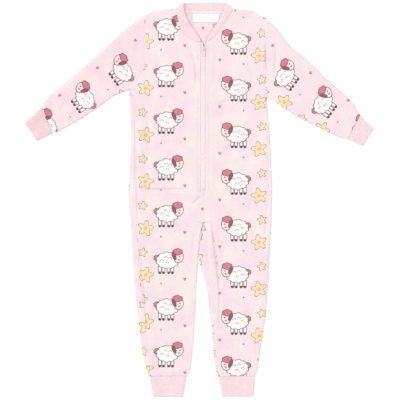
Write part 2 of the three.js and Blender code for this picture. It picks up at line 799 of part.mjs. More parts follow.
// Moves the ends of a grid back from the seams, along its own lines.
function pulled(rows, pull, sides) {
  const moved = rows.map((row) => row.map((point) => point.clone()));
  const shift = (point, from, towards) => {
    const spot = TIGHT_SPOTS.find((s) => Math.hypot(from.x - s.x, from.y - s.y) < s.reach);
    point.add(towards.clone().sub(from).setLength(spot ? spot.pull : pull));
  };
  const last = rows.length - 1;
  rows[0].forEach((point, j) => {
    shift(moved[0][j], point, rows[1][j]);
    shift(moved[last][j], rows[last][j], rows[last - 1][j]);
  });
  if (sides)
    rows.forEach((row, i) => {
      shift(moved[i][0], row[0], row[1]);
      shift(moved[i][row.length - 1], row.at(-1), row.at(-2));
    });
  return moved;
}

// The band's stations from the zip round the neck and back to it: a point of the seam, and the
// point of the free edge beside it.
function bandSide(side) {
  const stations = NECK[side].map((row) => {
    const free = onLayer(row.freeX, row.freeY, true);
    free.z = Math.max(free.z, BAND_FREE_Z);
    return { seam: onLayer(row.x, row.y, true), free };
  });
  const [ax, ay] = ARMS[side].over[0];
  const [bx, by] = BAND_CORNER[side];
  const sign = SIGN[side];
  const seamFold = shoulderFold(side, 0);
  const freeFold = fold(bx, by, v2((by - ay) * sign, (ax - bx) * sign));
  for (let k = ARC_STEPS; k >= 0; k -= 1) {
    const angle = (k * Math.PI) / ARC_STEPS;
    stations.push({ seam: arcPoint(seamFold, angle), free: arcPoint(freeFold, angle) });
  }
  const last = backYokeFolds(side).at(-1);
  stations.push({
    seam: onLayer(last.x, last.y, false),
    free: onLayer(last.x, BAND_TOP - 1, false),
  });
  return stations;
}

function neckBand() {
  const middle = { seam: onLayer(0, BACK_NECK, false), free: onLayer(0, BAND_TOP - 1, false) };
  const stations = [...bandSide("right"), middle, ...bandSide("left").reverse()];
  const columns = [];
  stations.slice(0, -1).forEach((a, i) => {
    const b = stations[i + 1];
    const length = (a.seam.distanceTo(b.seam) + a.free.distanceTo(b.free)) / 2;
    const steps = Math.max(1, Math.round(length / (RIB_PITCH / 2)));
    for (let k = 0; k < steps; k += 1)
      columns.push([a.seam.clone().lerp(b.seam, k / steps), a.free.clone().lerp(b.free, k / steps)]);
  });
  const end = stations.at(-1);
  columns.push([end.seam, end.free]);
  return [0, 0.9, 1].map((share) =>
    columns.map(([seam, free]) => seam.clone().lerp(free, share)),
  );
}

// A flat outline in plan, thick upwards from the height under.
function plate(points, under, thick) {
  const shape = new THREE.Shape(points.map(([x, y]) => v2(x, y)));
  const geometry = new THREE.ExtrudeGeometry(shape, { depth: thick, bevelEnabled: false });
  return geometry.translate(0, 0, under);
}

// An outline across the zip, drawn in X and Z and run along Y.
function bar(points, from, to) {
  const shape = new THREE.Shape(points.map(([x, z]) => v2(x, z)));
  const geometry = new THREE.ExtrudeGeometry(shape, { depth: to - from, bevelEnabled: false });
  return geometry.rotateX(Math.PI / 2).translate(0, to, 0);
}

const box = (x0, x1, y0, y1, z0, z1) =>
  plate([[x0, y0], [x1, y0], [x1, y1], [x0, y1]], z0, z1 - z0);

const wasm = await Module();
wasm.setup();

function solidOf(geometry) {
  const bare = geometry.clone();
  bare.deleteAttribute("normal");
  bare.deleteAttribute("uv");
  const merged = mergeVertices(bare, 1e-4);
  return new wasm.Manifold(
    new wasm.Mesh({
      numProp: 3,
      vertProperties: merged.attributes.position.array,
      triVerts: new Uint32Array(merged.index.array),
    }),
  );
}

function geometryOf(solid) {
  const mesh = solid.getMesh();
  const geometry = new THREE.BufferGeometry();
  geometry.setAttribute("position", new THREE.BufferAttribute(mesh.vertProperties, 3));
  geometry.setIndex(new THREE.BufferAttribute(mesh.triVerts, 1));
  return geometry;
}

// Back neck tape and the bare label sewn under it
const TAPE_HALF = 52;
const NECK_TAPE = { low: BACK_NECK - 6.6, high: BACK_NECK - 0.6, thick: 0.6 };
const LABEL = { left: -27.5, right: 36, low: 899, high: 921, thick: 0.4 };
const LAID = FLEECE + LAID_GAP;

function neckTape() {
  const steps = 6;
  const lower = sampled(steps, (t) => [-TAPE_HALF + 2 * TAPE_HALF * t, NECK_TAPE.low]);
  const upper = sampled(steps, (t) => [TAPE_HALF - 2 * TAPE_HALF * t, NECK_TAPE.high]);
  return plate([...lower, ...upper], LAID, NECK_TAPE.thick);
}

// Zip: two tapes, the closed chain, the parted teeth above the slider, and the stops
function zipTape(sign) {
  const { inner, outer, bottom, top, under, thick } = TAPE;
  const part = SLIDER_Y + 1;
  const parted = inner + 1.1;
  const outline = [
    [inner, bottom], [outer, bottom], [outer, top], [parted, top], [parted, part + 4], [inner, part],
  ];
  const points = outline.map(([x, y]) => [x * sign, y]);
  return plate(sign > 0 ? points : points.reverse(), under, thick);
}

function chainProfile(from, to) {
  const { under, over } = CHAIN;
  const bevel = 0.6;
  return [
    [from, under], [to, under], [to, over - bevel], [to - bevel, over], [from + bevel, over],
    [from, over - bevel],
  ];
}

const STOP = { low: 849.4, high: 850.9, inner: 1.9, outer: 4.4, rise: 0.3 };
const BOTTOM_STOP = { low: 498.4, high: 501.2, half: 3.4 };

function topStop(sign) {
  const xs = [STOP.inner * sign, STOP.outer * sign].sort((a, b) => a - b);
  return box(...xs, STOP.low, STOP.high, CHAIN.under, CHAIN.over + STOP.rise);
}

function partedTeeth(sign) {
  const xs = [STOP.inner * sign, (STOP.outer - 0.2) * sign].sort((a, b) => a - b);
  return bar(chainProfile(...xs), SLIDER_Y + 2.5, STOP.low - 0.3);
}

// Slider: an upper and a lower plate joined by a wedge between the tapes, with side rails that
// hold the chain and a bridge for the pull tab
function slider() {
  const outline = (grow) => [
    [-4.2 - grow, -SLIDER_HALF], [4.2 + grow, -SLIDER_HALF], [4.9 + grow, 1.6], [4.2 + grow, 4.4],
    [2, SLIDER_HALF], [-2, SLIDER_HALF], [-4.2 - grow, 4.4], [-4.9 - grow, 1.6],
  ];
  const upper = solidOf(plate(outline(0), PLATE.under, PLATE.over - PLATE.under));
  const lower = solidOf(plate(outline(-0.8), LAID, TAPE.under - LAID_GAP - LAID));
  const wedge = solidOf(
    plate([[-1.2, 3], [0, 1.2], [1.2, 3], [1.2, 4.8], [-1.2, 4.8]], LAID + 0.2, PLATE.over - LAID - 0.4),
  );
  const railLow = TAPE.under + TAPE.thick + LAID_GAP;
  const rail = (sign) => {
    const points = [
      [3.2 * sign, -SLIDER_HALF], [4.2 * sign, -SLIDER_HALF], [4.85 * sign, 1.2], [3.9 * sign, 1.2],
    ];
    return solidOf(plate(sign > 0 ? points : points.reverse(), railLow, PLATE.over - 0.2 - railLow));
  };
  const bridgeHalf = 0.9;
  const bridgePoints = [
    [-3.7, 7.2], [-3.7, 9.4], [-2.7, 10.5], [2.7, 10.5], [3.7, 9.4], [3.7, 7.2],
    [2.5, 7.2], [2.5, 9.1], [2.1, 9.6], [-2.1, 9.6], [-2.5, 9.1], [-2.5, 7.2],
  ];
  const bridge = bar(bridgePoints, -bridgeHalf, bridgeHalf).rotateZ(Math.PI / 2);
  const whole = upper.add(lower).add(wedge).add(rail(1)).add(rail(-1)).add(solidOf(bridge));
  return geometryOf(whole).translate(0, SLIDER_Y, 0);
}

// Pull tab: a flat drop with an eye that the bridge passes through
function pullTab() {
  const half = PULL_THICK / 2;
  const shape = new THREE.Shape();
  shape.moveTo(-2.9, half);
  shape.lineTo(-2.5, -6.5);
  shape.lineTo(-3.3, -PULL_LENGTH + 4);
  shape.quadraticCurveTo(-3.3, -PULL_LENGTH, 0, -PULL_LENGTH);
  shape.quadraticCurveTo(3.3, -PULL_LENGTH, 3.3, -PULL_LENGTH + 4);
  shape.lineTo(2.5, -6.5);
  shape.lineTo(2.9, half);
  const eye = new THREE.Path([v2(-1.4, -half), v2(1.4, -half), v2(1.4, -4.4), v2(-1.4, -4.4)]);
  const grip = new THREE.Path([v2(-1.2, -13), v2(1.2, -13), v2(1.5, -16.5), v2(-1.5, -16.5)]);
  shape.holes.push(eye, grip);
  const geometry = new THREE.ExtrudeGeometry(shape, {
    depth: PULL_THICK,
    bevelEnabled: false,
    curveSegments: 5,
  });
  return geometry.translate(0, 0, -half);
}

const garment = new THREE.Group();
function add(name, geometry, finish) {
  geometry.computeVertexNormals();
  const mesh = new THREE.Mesh(geometry, new THREE.MeshStandardMaterial(COLOURS[finish]));
  mesh.name = name;
  garment.add(mesh);
  return mesh;
}

// Panels and sleeves meet on the same points; the cuffs go on from their ends.
const pieces = [];
function cut(name, rows, thickness, finish, options = {}) {
  const normals = normalsOf(rows, options.ring);
  pieces.push({ name, rows, normals, thickness, finish, options });
}
cut("front_right", frontRight(), FLEECE, "fleece");
cut("front_left", frontLeft(), FLEECE, "fleece");
cut("back_right", backPanel("right"), FLEECE, "fleece");
cut("back_left", backPanel("left"), FLEECE, "fleece");
const knit = { ring: true, ribs: RIB_RELIEF, rounded: [2] };
for (const side of ["right", "left"]) {
  const rings = sleeveRings(side);
  cut(`sleeve_${side}`, rings, FLEECE, "fleece", { ring: true });
  cut(`sleeve_cuff_${side}`, sleeveCuff(side, rings.at(-1)), RIB_KNIT, "rib", knit);
  const ankle = cuffRows(legRing(side, CUFF_SEAM), legRing(side, 0));
  cut(`ankle_cuff_${side}`, ankle, RIB_KNIT, "rib", knit);
}
cut("neckband", neckBand(), BAND_KNIT, "rib", { ribs: RIB_RELIEF, rounded: [2] });
shareNormals(pieces);
for (const { name, rows, normals, thickness, finish, options } of pieces) {
  const pull = finish === "rib" ? CUFF_PULL : SEAM_PULL;
  const short = pulled(rows, pull, !options.ring);
  add(name, wall(short, normals, thickness, options), finish);
}

add("neck_tape", neckTape(), "tape");
const { left, right, low, high } = LABEL;
add("label", box(left, right, low, high, LAID, LAID + LABEL.thick), "label");
for (const side of ["right", "left"]) {
  add(`zip_tape_${side}`, zipTape(-SIGN[side]), "tape");
  add(`zip_teeth_${side}`, partedTeeth(-SIGN[side]), "tape");
  add(`zip_top_stop_${side}`, topStop(-SIGN[side]), "enamel");
}
const chain = chainProfile(-CHAIN.half, CHAIN.half);
add("zip_chain", bar(chain, BOTTOM_STOP.high + LAID_GAP, SLIDER_Y + 0.8), "tape");
const stopTop = CHAIN.over + STOP.rise;
const stopHalf = BOTTOM_STOP.half;
const bottomStop = box(-stopHalf, stopHalf, BOTTOM_STOP.low, BOTTOM_STOP.high, CHAIN.under, stopTop);
add("zip_bottom_stop", bottomStop, "enamel");
add("zip_slider", slider(), "enamel");
const pull = add("zip_pull", pullTab(), "enamel");
pull.rotation.x = PULL_DROOP;
pull.position.set(0, SLIDER_Y, PULL_AXIS_Z);

// The origin is the middle of the garment's outline, on the surface it lies on.
const bounds = new THREE.Box3().setFromObject(garment, true);
const middle = bounds.getCenter(v3(0, 0, 0));
garment.position.set(-middle.x, -middle.y, -bounds.min.z);
const group = new THREE.Group();
group.add(garment);

export default group;
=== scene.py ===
# One-piece pajamas in printed coral fleece, laid flat on a pale surface and seen from above.
# The tables give places on the garment in millimetres: x from the zip towards the wearer's
# left, y up from the ends of the ankle cuffs. The frame and every mesh are in metres.

import math
from collections import namedtuple

import bmesh
import bpy
from mathutils import Matrix, Vector, noise
from mathutils.bvhtree import BVHTree


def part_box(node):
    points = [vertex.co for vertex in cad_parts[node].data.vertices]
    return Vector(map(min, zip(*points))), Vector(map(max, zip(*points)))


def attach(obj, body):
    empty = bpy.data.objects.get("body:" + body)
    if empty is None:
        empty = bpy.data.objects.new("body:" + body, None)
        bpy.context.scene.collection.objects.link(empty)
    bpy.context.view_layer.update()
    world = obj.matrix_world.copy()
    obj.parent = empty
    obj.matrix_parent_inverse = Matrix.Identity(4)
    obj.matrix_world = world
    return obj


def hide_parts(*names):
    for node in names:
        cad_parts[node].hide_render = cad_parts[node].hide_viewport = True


MM = 0.001
BODY = "garment"

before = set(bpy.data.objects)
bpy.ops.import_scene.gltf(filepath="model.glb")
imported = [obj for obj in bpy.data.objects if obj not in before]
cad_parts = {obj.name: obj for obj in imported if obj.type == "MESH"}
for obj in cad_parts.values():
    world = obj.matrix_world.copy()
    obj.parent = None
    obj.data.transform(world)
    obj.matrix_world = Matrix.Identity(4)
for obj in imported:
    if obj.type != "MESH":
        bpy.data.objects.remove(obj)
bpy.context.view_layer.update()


# The garment's own directions in the frame

SLIDER_Y = 835.5


def middle_of(node):
    low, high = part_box(node)
    return (low + high) / 2


ZIP_X = middle_of("zip_chain").x / MM
FEET_Y = middle_of("zip_slider").y / MM - SLIDER_Y


def place(x, y, z=0.0):
    """A point of the garment in the frame's metres."""
    return Vector(((x + ZIP_X) * MM, (y + FEET_Y) * MM, z * MM))


def on_garment(point):
    """The garment's millimetres of a point in the frame."""
    return point.x / MM - ZIP_X, point.y / MM - FEET_Y, point.z / MM


def ease(low, high, value):
    """From 0 below low to 1 above high, smoothly."""
    t = min(1.0, max(0.0, (value - low) / (high - low)))
    return t * t * (3 - 2 * t)


# Folds and swells of the cloth, placed along the lines where they lie. A negative height
# is a trough. The sides of a fold swell by a share of its height.

FOLD_REACH = 3.2


class Fold:
    """A line on the garment, with the height of the cloth along it and half of its width."""

    def __init__(self, points, height, half):
        self.points, self.height, self.half = points, height, half
        reach = FOLD_REACH * half
        self.left = min(x for x, _ in points) - reach
        self.right = max(x for x, _ in points) + reach
        self.low = min(y for _, y in points) - reach
        self.high = max(y for _, y in points) + reach

    def is_near(self, x, y):
        return self.left < x < self.right and self.low < y < self.high


UPPER_FOLDS = [
    # Beside the zip at the chest
    Fold([(-50, 872), (-40, 848), (-28, 824), (-20, 800), (-18, 764), (-19, 720)], -1.8, 3.8),
    Fold([(-58, 850), (-50, 826), (-40, 802), (-34, 776)], 0.9, 6),
    Fold([(24, 846), (30, 822), (27, 790), (24, 750)], -0.8, 6),
    # Across the chest and the waist of the wearer's left front
    Fold([(14, 696), (44, 704), (70, 718), (100, 734), (130, 740)], -1.6, 5.5),
    Fold([(110, 506), (114, 474), (112, 440)], -1.0, 5),
    Fold([(20, 588), (62, 598), (110, 612), (150, 628)], -1.4, 8),
    Fold([(24, 566), (70, 570), (112, 584)], 0.8, 9),
    Fold([(96, 824), (112, 792), (122, 752)], -0.8, 9),
    Fold([(150, 556), (120, 548), (84, 552)], -0.7, 8),
    # Down the wearer's right front, and across it at the end of the zip
    Fold([(-130, 700), (-133, 640), (-130, 590), (-134, 548)], -1.7, 7),
    Fold([(-150, 704), (-152, 640), (-150, 560), (-148, 480)], 1.1, 6),
    Fold([(-166, 726), (-164, 640), (-162, 540), (-158, 440), (-152, 380)], -1.1, 3.8),
    Fold([(153, 700), (155, 600), (155, 500), (150, 400), (138, 300)], -0.8, 3.8),
    Fold([(-176, 500), (-128, 496), (-70, 497), (-12, 494)], -1.9, 4.2),
    Fold([(-32, 460), (-18, 470), (-4, 483)], -1.5, 4),
    Fold([(-118, 846), (-104, 800), (-106, 764)], -0.8, 9),
    Fold([(-98, 612), (-64, 606), (-30, 616)], -0.7, 8),
    # Down the wearer's left leg from the fork
    Fold([(19, 430), (22, 396), (27, 360), (32, 322), (36, 280), (39, 232)], -2.9, 3.4),
    Fold([(38, 262), (39, 220), (36, 168)], -1.3, 4.2),
    Fold([(8, 404), (14, 366), (19, 326), (23, 282)], 1.3, 5),
    Fold([(48, 156), (62, 142), (78, 124)], -1.2, 6),
    Fold([(104, 298), (128, 286), (150, 288)], -0.8, 8),
    Fold([(96, 208), (112, 190), (118, 160)], -0.7, 9),
    # Down the wearer's right leg
    Fold([(-14, 420), (-22, 380), (-26, 340), (-27, 300)], -1.2, 6),
    Fold([(-152, 390), (-147, 300), (-140, 220), (-130, 120)], -1.1, 3.8),
    Fold([(-136, 360), (-130, 290), (-124, 220)], 1.0, 7),
    Fold([(-140, 330), (-112, 322), (-84, 328)], -0.8, 8),
    Fold([(-52, 236), (-66, 214), (-72, 184)], -0.9, 8),
    Fold([(-122, 182), (-108, 150), (-104, 118)], -0.8, 8),
    Fold([(-46, 138), (-60, 122), (-76, 114)], -0.8, 7),
    # The sleeves, at the armhole and the bend of the arm
    Fold([(172, 846), (174, 815), (172, 786), (166, 758)], -1.6, 3.8),
    Fold([(143, 852), (143, 815), (144, 780)], 1.3, 5),
    Fold([(196, 792), (214, 774), (228, 752)], -0.8, 7),
    Fold([(262, 748), (276, 726), (282, 702)], -0.9, 7),
    Fold([(318, 700), (334, 684), (342, 664)], -0.8, 6),
    Fold([(-158, 846), (-162, 812), (-158, 782)], -1.0, 7),
    Fold([(-206, 822), (-216, 790), (-214, 762)], -0.9, 7),
    Fold([(-262, 764), (-276, 742), (-280, 716)], -1.0, 7),
    Fold([(-330, 712), (-340, 696), (-342, 676)], -0.8, 6),
]

LOWER_FOLDS = [
    Fold([(-120, 520), (-70, 500), (-10, 506), (60, 496), (118, 512)], 1.3, 7),
    Fold([(-110, 640), (-60, 620), (-8, 634)], 0.9, 8),
    Fold([(20, 640), (70, 622), (120, 634)], 0.9, 8),
    Fold([(-24, 400), (-40, 350), (-48, 290)], 1.1, 6),
    Fold([(26, 396), (46, 344), (56, 280)], 1.1, 6),
    Fold([(-120, 250), (-90, 226), (-60, 232)], 0.9, 7),
    Fold([(64, 222), (92, 208), (124, 216)], 0.9, 7),
    Fold([(-116, 800), (-122, 750), (-116, 700)], 0.9, 8),
    Fold([(110, 810), (118, 756), (112, 700)], 0.9, 8),
    Fold([(-236, 790), (-250, 756), (-246, 724)], 0.8, 6),
    Fold([(242, 770), (256, 736), (252, 706)], 0.8, 6),
]

# Where the collar stands up a little, at the two ends of the back neck
COLLAR_RISES = [
    Fold([(-54, 941), (-47, 922), (-42, 902)], 7.6, 13),
    Fold([(56, 940), (52, 924), (48, 908)], 1.6, 12),
]

FOLD_STRENGTH = 1.8
SHOULDER_SHARE = 0.45
SHOULDER_WIDTH = 2.1


def beside(x, y, points):
    """How far a place is from a line of points, and how far along it, from 0 to 1."""
    best, at, run = 1e9, 0.0, 0.0
    total = sum(math.dist(a, b) for a, b in zip(points, points[1:]))
    for a, b in zip(points, points[1:]):
        long = math.dist(a, b)
        share = ((x - a[0]) * (b[0] - a[0]) + (y - a[1]) * (b[1] - a[1])) / (long * long)
        share = min(1.0, max(0.0, share))
        away = math.hypot(x - a[0] - share * (b[0] - a[0]), y - a[1] - share * (b[1] - a[1]))
        if away < best:
            best, at = away, (run + share * long) / total
        run += long
    return best, at


def near_folds(x, y):
    return [fold for fold in UPPER_FOLDS if fold.is_near(x, y)]


def fold_height(x, y, fold):
    """The height of one fold at a place, with its sides swelling the other way."""
    away, along = beside(x, y, fold.points)
    ends = ease(0, 0.3, along) * ease(0, 0.3, 1 - along)
    core = math.exp(-((away / fold.half) ** 2))
    sides = math.exp(-((away / (fold.half * SHOULDER_WIDTH)) ** 2)) - core
    return fold.height * ends * (core - SHOULDER_SHARE * sides)


def stand_up(mesh):
    """Raises the collar, and what is sewn to it, where it stands up from the floor."""
    for vert in mesh.verts:
        x, y, _ = on_garment(vert.co)
        for fold in COLLAR_RISES:
            if fold.is_near(x, y):
                away, _ = beside(x, y, fold.points)
                vert.co.z += fold.height * math.exp(-((away / fold.half) ** 2)) * MM


def waves(x, y, size, seed):
    """Soft unevenness of about -1 to 1, with humps of a size."""
    return noise.noise(Vector((x / size, y / size, seed)))


ZIP_CALM = (13.0, 34.0)
ZIP_LOW, ZIP_HIGH = 494, 856


def calm_by_zip(x, y):
    """Less movement of the cloth where the zip holds it."""
    beside_zip = ease(*ZIP_CALM, abs(x))
    past_zip = ease(0, 20, ZIP_LOW - y)
    return max(beside_zip, past_zip)


ZIP_EDGE, ZIP_ROLL, ZIP_ROLL_WIDE = 7.3, 1.7, 4.6


def zip_roll(x, y):
    """How far the fleece's edge rolls down towards the zip, where it is turned under."""
    if y < ZIP_LOW - 2 or y > ZIP_HIGH + 2:
        return 0.0
    inward = 1 - min(1.0, max(0.0, abs(x) - ZIP_EDGE) / ZIP_ROLL_WIDE)
    return ZIP_ROLL * inward * inward


STITCH_DIP = 0.9
STITCH_DIP_HALF = 1.8
GATHER_STEP = 10.0
GATHER_RISE = 0.55
GATHER_LONG = 11.0
GATHER_UNEVEN = 2.2

# The middle of each cuff's seam, and the way that the sleeve or leg runs from it.
Gather = namedtuple("Gather", "x y way_x way_y half")
GATHERS = [
    Gather(-378, 663, 0.81, 0.58, 42),
    Gather(361, 646, -0.82, 0.57, 42),
    Gather(-85, 50, -0.10, 0.99, 50),
    Gather(79, 50, 0.10, 0.99, 50),
]


def gathers(x, y):
    """Small tucks where the fleece is eased on to a cuff."""
    for gather in GATHERS:
        along = (x - gather.x) * gather.way_x + (y - gather.y) * gather.way_y
        across = (y - gather.y) * gather.way_x - (x - gather.x) * gather.way_y
        if -6 < along < 3 * GATHER_LONG and abs(across) < gather.half:
            uneven = GATHER_UNEVEN * waves(x, y, 30, gather.half + gather.x)
            phase = across / GATHER_STEP * 2 * math.pi + uneven
            return GATHER_RISE * math.cos(phase) * math.exp(-((along / GATHER_LONG) ** 2))
    return 0.0


Swell = namedtuple("Swell", "height size seed")
SWELLS = [Swell(1.1, 62, 1.5), Swell(0.55, 27, 4.5), Swell(0.2, 11, 8.5)]
LOWER_SWELL = Swell(0.4, 48, 12.5)
RIB_SWELL = Swell(0.5, 24, 20.5)
LABEL_SWELL = Swell(0.5, 22, 30.5)


def upper_lift(x, y):
    calm = calm_by_zip(x, y)
    swell = sum(part.height * waves(x, y, part.size, part.seed) for part in SWELLS)
    dip = STITCH_DIP * math.exp(-((from_zip_stitches(x, y) / STITCH_DIP_HALF) ** 2))
    folds = sum(fold_height(x, y, fold) for fold in near_folds(x, y))
    return calm * swell + FOLD_STRENGTH * folds + gathers(x, y) - dip


def lower_lift(x, y):
    swell = LOWER_SWELL.height * max(0.0, waves(x, y, LOWER_SWELL.size, LOWER_SWELL.seed))
    return swell + sum(fold_height(x, y, fold) for fold in LOWER_FOLDS if fold.is_near(x, y))


# Shells of cloth, made from the walls in the frame

# The heights between which the lower layer of the cloth gives way to the upper one
UPPER_FROM = (2.4, 5.0)
FLAT_ENOUGH = 0.8
SHARP = math.radians(55)
SEAM_CLOSING = 0.27
SEAM_DIP = 0.35


def merged(node):
    """A copy of a CAD node's mesh with its corners joined, and its flat triangles in pairs."""
    mesh = bmesh.new()
    mesh.from_mesh(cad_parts[node].data)
    bmesh.ops.remove_doubles(mesh, verts=mesh.verts, dist=0.01 * MM)
    bmesh.ops.join_triangles(
        mesh,
        faces=mesh.faces,
        angle_face_threshold=math.radians(25),
        angle_shape_threshold=math.radians(50),
    )
    return mesh


def finer(mesh, longest):
    """Cuts every edge that is too long for its place, until none is."""
    while True:
        long_edges = []
        for edge in mesh.edges:
            x, y, _ = on_garment((edge.verts[0].co + edge.verts[1].co) / 2)
            if edge.calc_length() > longest(x, y) * MM:
                long_edges.append(edge)
        if not long_edges:
            return
        bmesh.ops.subdivide_edges(mesh, edges=long_edges, cuts=1, use_grid_fill=True)


def close_seams(mesh):
    """Moves the cut edges out, so that they meet the next piece's along a seam."""
    mesh.normal_update()
    sharp = [edge for edge in mesh.edges if edge.calc_face_angle(0.0) > SHARP]
    on_rim = {vert for edge in sharp for vert in edge.verts}
    outward = {}
    for face in mesh.faces:
        if all(vert in on_rim for vert in face.verts):
            for vert in face.verts:
                outward[vert] = outward.get(vert, Vector()) + face.normal * face.calc_area()
    for vert, way in outward.items():
        if way.length == 0:
            continue
        faces_up = max(face.normal.z for face in vert.link_faces) > FLAT_ENOUGH
        vert.co += way.normalized() * SEAM_CLOSING * MM
        if faces_up and on_garment(vert.co)[2] > UPPER_FROM[1]:
            vert.co.z -= SEAM_DIP * MM


def level(mesh, rounds):
    """Evens out the facets where the cloth lies flat, and leaves its edges alone."""
    mesh.normal_update()
    flat = [
        vert
        for vert in mesh.verts
        if all(abs(face.normal.z) > FLAT_ENOUGH for face in vert.link_faces)
    ]
    for _ in range(rounds):
        bmesh.ops.smooth_vert(mesh, verts=flat, factor=0.5, use_axis_z=True)


def crease(mesh):
    """Lifts the upper layer by its folds, and the layer that it lies on by a few of its own."""
    mesh.normal_update()
    lifts = []
    for vert in mesh.verts:
        x, y, z = on_garment(vert.co)
        upper = ease(*UPPER_FROM, z)
        lift = 0.0
        if upper > 0:
            lift += upper * upper_lift(x, y)
        if upper < 1:
            lift += (1 - upper) * max(0.0, lower_lift(x, y))
        if vert.normal.z > 0 and z > UPPER_FROM[1]:
            lift -= zip_roll(x, y)
        lifts.append(lift)
    for vert, lift in zip(mesh.verts, lifts):
        vert.co.z = max(0.0, vert.co.z + lift * MM)
    stand_up(mesh)


def flat_area(mesh):
    """The cloth's area in square metres, half of what its two faces have."""
    return sum(face.calc_area() for face in mesh.faces) / 2


def finish_piece(mesh, name, material, slot, *nodes):
    """Makes an object of a mesh, which rides on the garment and stands for CAD nodes."""
    data = bpy.data.meshes.new(name)
    mesh.to_mesh(data)
    mesh.free()
    data.materials.append(material)
    data.shade_smooth()
    data.set_sharp_from_angle(angle=SHARP)
    piece = bpy.data.objects.new(name, data)
    bpy.context.scene.collection.objects.link(piece)
    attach(piece, BODY)
    if nodes:
        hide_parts(*nodes)
    return piece


# Materials

def linear(red, green, blue):
    """A colour given as in a paint box, 0 to 255, for the shader."""
    def channel(value):
        value /= 255
        return value / 12.92 if value <= 0.04045 else ((value + 0.055) / 1.055) ** 2.4

    return (channel(red), channel(green), channel(blue), 1.0)


class Finish:
    """One material, with short calls for the nodes that its colours and relief are made of."""

    def __init__(self, name, colour, roughness, sheen=0.0):
        self.material = bpy.data.materials.new(name)
        self.material.use_nodes = True
        self.material.diffuse_color = colour
        self.nodes = self.material.node_tree.nodes
        self.links = self.material.node_tree.links
        self.shader = self.nodes["Principled BSDF"]
        self.shader.inputs["Base Color"].default_value = colour
        self.shader.inputs["Roughness"].default_value = roughness
        self.shader.inputs["Sheen Weight"].default_value = sheen
        self.shader.inputs["Sheen Roughness"].default_value = 0.5

    def put(self, socket, value):
        if isinstance(value, bpy.types.NodeSocket):
            self.links.new(value, socket)
        else:
            socket.default_value = value

    def sum(self, operation, *values, clamp=False):
        node = self.nodes.new("ShaderNodeMath")
        node.operation = operation
        node.use_clamp = clamp
        for socket, value in zip(node.inputs, values):
            self.put(socket, value)
        return node.outputs["Value"]

    def vector(self, operation, *values):
        node = self.nodes.new("ShaderNodeVectorMath")
        node.operation = operation
        for socket, value in zip(node.inputs, values):
            self.put(socket, value)
        if operation in ("LENGTH", "DISTANCE", "DOT_PRODUCT"):
            return node.outputs["Value"]
        return node.outputs["Vector"]

    def scaled(self, vector, factor):
        node = self.nodes.new("ShaderNodeVectorMath")
        node.operation = "SCALE"
        self.put(node.inputs[0], vector)
        node.inputs["Scale"].default_value = factor
        return node.outputs["Vector"]

    def parts(self, vector):
        node = self.nodes.new("ShaderNodeSeparateXYZ")
        self.put(node.inputs[0], vector)
        return node.outputs["X"], node.outputs["Y"], node.outputs["Z"]

    def joined(self, x, y):
        node = self.nodes.new("ShaderNodeCombineXYZ")
        self.put(node.inputs["X"], x)
        self.put(node.inputs["Y"], y)
        return node.outputs["Vector"]

    def millimetres(self, turn=0.0):
        """The piece's place in the frame, in millimetres, turned about the vertical."""
        source = self.nodes.new("ShaderNodeTexCoord").outputs["Object"]
        node = self.nodes.new("ShaderNodeMapping")
        self.put(node.inputs["Vector"], source)
        node.inputs["Scale"].default_value = (1 / MM, 1 / MM, 1 / MM)
        node.inputs["Rotation"].default_value = (0, 0, turn)
        return node.outputs["Vector"]

    def surface(self):
        """Millimetres along the cloth, from the piece's own map."""
        source = self.nodes.new("ShaderNodeTexCoord").outputs["UV"]
        return self.scaled(source, UV_SIZE)

    def cloud(self, vector, size, detail=2.0, rough=0.5):
        node = self.nodes.new("ShaderNodeTexNoise")
        self.put(node.inputs["Vector"], vector)
        node.inputs["Scale"].default_value = 1 / size
        node.inputs["Detail"].default_value = detail
        node.inputs["Roughness"].default_value = rough
        return node.outputs["Fac"]

    def ramp(self, share, *stops):
        node = self.nodes.new("ShaderNodeValToRGB")
        self.put(node.inputs["Fac"], share)
        elements = node.color_ramp.elements
        while len(elements) < len(stops):
            elements.new(0.5)
        for element, (position, colour) in zip(elements, stops):
            element.position = position
            element.color = colour
        return node.outputs["Color"]

    def mix(self, share, under, over, blend="MIX"):
        node = self.nodes.new("ShaderNodeMix")
        node.data_type = "RGBA"
        node.blend_type = blend
        self.put(node.inputs[0], share)
        self.put(node.inputs[6], under)
        self.put(node.inputs[7], over)
        return node.outputs[2]

    def colour(self, value):
        self.put(self.shader.inputs["Base Color"], value)

    def bump(self, height, depth, strength=1.0):
        """Relief too fine for the mesh, with its depth in millimetres."""
        node = self.nodes.new("ShaderNodeBump")
        node.inputs["Strength"].default_value = strength
        node.inputs["Distance"].default_value = depth * MM
        self.put(node.inputs["Height"], height)
        if self.shader.inputs["Normal"].links:
            self.put(node.inputs["Normal"], self.shader.inputs["Normal"].links[0].from_socket)
        self.put(self.shader.inputs["Normal"], node.outputs["Normal"])


UV_SIZE = 1000.0

# The printed fleece: a mottled ground with lambs, stars and small hearts in a half drop

MOTTLED = [
    (0.30, linear(238, 219, 227)),
    (0.42, linear(242, 220, 226)),
    (0.52, linear(242, 224, 227)),
    (0.62, linear(242, 228, 227)),
    (0.74, linear(242, 229, 224)),
]
INK = linear(112, 86, 92)
HOOF = linear(84, 62, 70)
WOOL = linear(246, 243, 241)
FACE = linear(243, 229, 226)
ROSE = linear(214, 124, 140)
DEEP_ROSE = linear(156, 84, 98)
PALE_YELLOW = linear(244, 222, 178)
PEACH = linear(238, 176, 168)

COLUMN, DROP = 144.0, 112.0
LINE = 1.35
PRINT_BLUR = 0.8
PILE_SIZE, PILE_SPREAD = 1.6, 1.5
LAMB_AT = (-15.0, 8.0)
LAMB_SIZE = 1.12
STAR_POINTS = 5.0
STAR_TURN = math.radians(12)


